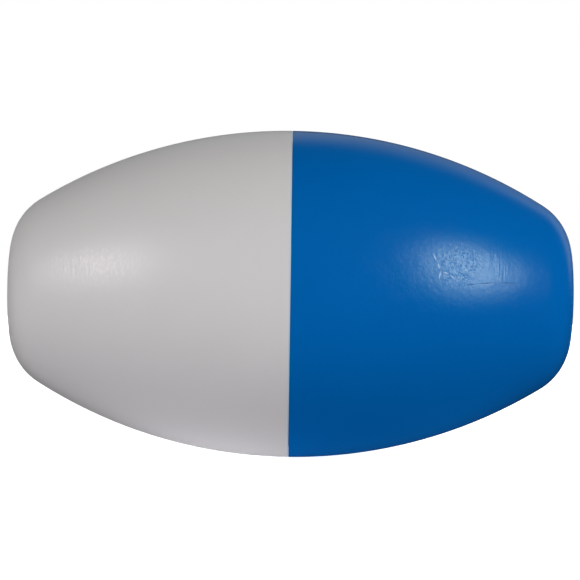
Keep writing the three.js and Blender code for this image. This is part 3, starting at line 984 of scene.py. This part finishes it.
def make_snap_ring():
    """The split ring, with its gap at the bottom."""
    snap = turned("split_snap_ring", rounded(snap_ring_outline(), ROUNDING))
    gap = block(
        "snap_ring_gap",
        SNAP_RING_FROM - CUT_PAST,
        SNAP_RING_TO + CUT_PAST,
        SNAP_RING_INNER_RADIUS - CUT_PAST,
        SNAP_RING_OUTER_RADIUS + CUT_PAST,
        SNAP_RING_GAP,
        -math.pi / 2,
    )
    combined(snap, [gap], "DIFFERENCE")
    settle(snap, "snap_ring", "blue_half", snap_ring_plastic)


def make_seal():
    """The rubber ring at the seam."""
    seal = turned("seal_o_ring", seal_outline())
    settle(seal, "seam_seal_ring", "white_half", seal_rubber)


make_shells()
make_tubes()
make_white_bulkhead()
make_blue_bulkhead()
make_collet_ring()
make_closing_ring()
make_fingers()
make_snap_ring()
make_seal()


# ---- Studio ------------------------------------------------------------------------------------------

CAMERA_DISTANCE = 1.2
CAMERA_HEIGHT_DEG = 1.0
CAMERA_ROLL_DEG = 0.8
AIM_ABOVE_AXIS = 0.0016
AIM_LEFT_OF_SEAM = 0.0002
VIEW_WIDTH = 0.2375  # what the frame covers at the float's axis, in metres
SENSOR_MM = 36.0

# How bright the things that the plastic mirrors look from the float.
LEFT_KEY = (8.6, 1.45)
RIGHT_KEY = (9.1, 1.45)
WALL_BEHIND = 0.30
WALL_BEHIND_BLUE_END = 0.28
ROOM = 0.01
WALL_TINT = (0.88, 1.04, 1.14)

KEY_CORE = 0.45  # a key light is even inside this share of its width, then fades until KEY_RIM
KEY_RIM = 0.72
ELLIPSE_SHARE = math.pi / 4  # of the rectangle round it
LOW_TINT = (0.98, 0.98, 1.04)
FLOOR_HALF_WIDTH = 20.0
FLOOR_GLOW = 1.0

# Where the pale wall ends, along the axes of a unit vector that points at it from the float.
WALL_FROM_Y = (0.6, 0.8)
WALL_FROM_Z = (0.0, 0.1)
WALL_UNTIL_Y = (0.94, 0.98)
WALL_PALEST_X = (0.05, 0.3)
BLUE_END_FROM_X = (0.15, 0.4)
BLUE_END_UNTIL_Y = (0.8, 0.93)

# A black board over the float's front, which keeps the key lights' glare off its top. In metres.
FLAG_Y = -0.036
FLAG_FROM_Z = 0.07
FLAG_HEIGHT = 0.3
FLAG_WIDTH = 0.6


def direction_at(azimuth, elevation):
    """A unit vector from the float. Azimuth 0 is the camera's side, and 90 is +X."""
    turn, tilt = math.radians(azimuth), math.radians(elevation)
    level = math.cos(tilt)
    return Vector((math.sin(turn) * level, -math.cos(turn) * level, math.sin(tilt)))


def make_camera():
    """A long lens at the float's front, a little above it."""
    data = bpy.data.cameras.new("camera")
    data.sensor_width = SENSOR_MM
    data.lens = SENSOR_MM * CAMERA_DISTANCE / VIEW_WIDTH
    data.clip_end = 50.0
    camera = bpy.data.objects.new("camera", data)
    bpy.context.scene.collection.objects.link(camera)
    camera.location = direction_at(0, CAMERA_HEIGHT_DEG) * CAMERA_DISTANCE
    camera.location.x -= AIM_LEFT_OF_SEAM
    camera.location.z += AIM_ABOVE_AXIS
    camera.rotation_euler = (math.radians(90 - CAMERA_HEIGHT_DEG), 0.0, 0.0)
    camera.rotation_euler.rotate_axis("Z", math.radians(CAMERA_ROLL_DEG))
    bpy.context.scene.camera = camera


def softbox(name, azimuth, elevation, width, height, radiance, distance=1.0, tint=(1.0, 1.0, 1.0)):
    """A rectangular light that faces the float. The plastic doesn't mirror it."""
    data = bpy.data.lights.new(name, "AREA")
    data.shape = "RECTANGLE"
    data.size = width
    data.size_y = height
    data.color = tint
    data.energy = radiance * math.pi * width * height
    data.cycles.use_multiple_importance_sampling = False
    light = bpy.data.objects.new(name, data)
    bpy.context.scene.collection.objects.link(light)
    direction = direction_at(azimuth, elevation)
    light.location = direction * distance
    light.rotation_euler = direction.to_track_quat("Z", "Y").to_euler()
    light.visible_camera = False
    light.visible_glossy = False
    return light


def key_light(name, azimuth, elevation, width, height, centre, edge, spin=0.0):
    """An elliptical light that the plastic mirrors. Its radiance falls from its centre to its edge."""
    # With the ellipse's own area in its energy, the strength below is the light's radiance.
    light = softbox(name, azimuth, elevation, width, height, ELLIPSE_SHARE)
    light.data.shape = "ELLIPSE"
    light.data.cycles.use_multiple_importance_sampling = True
    light.visible_glossy = True
    light.rotation_euler.rotate_axis("Z", math.radians(spin))
    light.data.use_nodes = True
    tree = light.data.node_tree
    across = put(tree, "ShaderNodeNewGeometry").outputs["Parametric"]
    middle = (0.5, 0.5, 0.0)
    out = put(tree, "ShaderNodeVectorMath", {0: across, 1: middle}, operation="DISTANCE")
    radiance = spread(tree, out.outputs["Value"], KEY_CORE / 2, KEY_RIM / 2, centre, edge)
    tree.links.new(radiance, tree.nodes["Emission"].inputs["Strength"])


def flat_square(name, half_width, grey, roughness):
    """A level square of one matt grey, which lights nothing and casts no shadow."""
    bm = bmesh.new()
    bmesh.ops.create_grid(bm, x_segments=1, y_segments=1, size=half_width)
    mesh = bpy.data.meshes.new(name)
    bm.to_mesh(mesh)
    bm.free()
    square = bpy.data.objects.new(name, mesh)
    square.visible_diffuse = False
    square.visible_shadow = False
    bpy.context.scene.collection.objects.link(square)
    material, _, shader = new_material(name)
    shader.inputs["Base Color"].default_value = (grey, grey, grey, 1.0)
    shader.inputs["Roughness"].default_value = roughness
    shader.inputs["Specular IOR Level"].default_value = 0.0
    mesh.materials.append(material)
    return square, material, shader


def make_floor():
    """A wide pale floor. Only the camera sees it, so the lights under it reach the float."""
    floor, material, shader = flat_square("floor", FLOOR_HALF_WIDTH, grey=0.8, roughness=0.9)
    floor.location.z = -BELLY_RADIUS * MM
    floor.visible_glossy = False
    shader.inputs["Emission Color"].default_value = (1.0, 1.0, 1.0, 1.0)
    shader.inputs["Emission Strength"].default_value = FLOOR_GLOW
    material.cycles.emission_sampling = "NONE"


def make_flag():
    """Only reflections meet it, so it stops the top from mirroring the key lights to the back."""
    flag, _, _ = flat_square("flag", 0.5, grey=0.0, roughness=1.0)
    # It is a metre square until it is scaled.
    flag.scale = (FLAG_WIDTH, FLAG_HEIGHT, 1.0)
    flag.rotation_euler = (math.radians(90), 0.0, 0.0)
    flag.location = (0.0, FLAG_Y, FLAG_FROM_Z + FLAG_HEIGHT / 2)
    flag.visible_camera = False


def wall_brightness(tree):
    """How bright the room is in each direction: a pale wall behind the float, dark elsewhere."""
    generated = put(tree, "ShaderNodeTexCoord").outputs["Generated"]
    towards = put(tree, "ShaderNodeSeparateXYZ", {0: generated})
    x, y, z = (towards.outputs[axis] for axis in "XYZ")
    behind = spread(tree, y, *WALL_FROM_Y)
    above = spread(tree, z, *WALL_FROM_Z)
    beside = spread(tree, y, *WALL_UNTIL_Y, WALL_BEHIND, 0.0)
    central = spread(tree, maths(tree, "ABSOLUTE", x), *WALL_PALEST_X, 1.0, 0.5)
    wide_beside = spread(tree, y, *BLUE_END_UNTIL_Y, WALL_BEHIND_BLUE_END, 0.0)
    blue_end = maths(tree, "MULTIPLY", spread(tree, x, *BLUE_END_FROM_X), wide_beside)
    wall = maths(tree, "ADD", maths(tree, "MULTIPLY", beside, central), blue_end)
    wall = maths(tree, "MULTIPLY", wall, maths(tree, "MULTIPLY", behind, above))
    return maths(tree, "MAXIMUM", wall, ROOM)


def make_world():
    """White to the camera. The plastic mirrors a dark room with a pale wall behind the float."""
    world = bpy.data.worlds.new("studio")
    bpy.context.scene.world = world
    world.use_nodes = True
    world.cycles.sampling_method = "NONE"
    tree = world.node_tree
    background = tree.nodes["Background"]
    path = put(tree, "ShaderNodeLightPath")
    to_camera = path.outputs["Is Camera Ray"]
    room = maths(tree, "MULTIPLY", path.outputs["Is Glossy Ray"], wall_brightness(tree))
    tree.links.new(maths(tree, "ADD", to_camera, room), background.inputs["Strength"])
    tint = blend_colour(tree, to_camera, WALL_TINT, (1.0, 1.0, 1.0))
    tree.links.new(tint, background.inputs["Color"])


make_camera()

# Each light's azimuth and elevation in degrees, width and height in metres, and radiance. A key
# light's radiance is given at its centre and at its edge.
key_light("left_key", -52.5, 19, 0.62, 0.75, *LEFT_KEY)
key_light("right_key", 49.5, 19.4, 0.57, 0.84, *RIGHT_KEY, spin=-11)
softbox("left_fill", -105, 15, 1.0, 1.0, 0.32)
softbox("right_fill", 90, 15, 1.0, 1.0, 1.28)
softbox("back_fill", 135, 45, 1.0, 1.0, 0.3)
softbox("far_side_fill", 180, 0, 0.6, 0.6, 21.0, distance=2.0)
softbox("top_fill", 0, 75, 1.0, 1.0, 0.03)
softbox("top_back_fill", 180, 30, 1.0, 1.0, 0.65)
softbox("low_front_fill", -12, -45, 1.0, 1.0, 1.24, tint=LOW_TINT)
softbox("left_belly_fill", -90, -75, 0.06, 0.06, 3.5, distance=0.13, tint=LOW_TINT)
softbox("right_belly_fill", 90, -55, 0.06, 0.06, 1.22, distance=0.13)

make_floor()
make_flag()
make_world()
bpy.context.scene.view_settings.view_transform = "Standard"
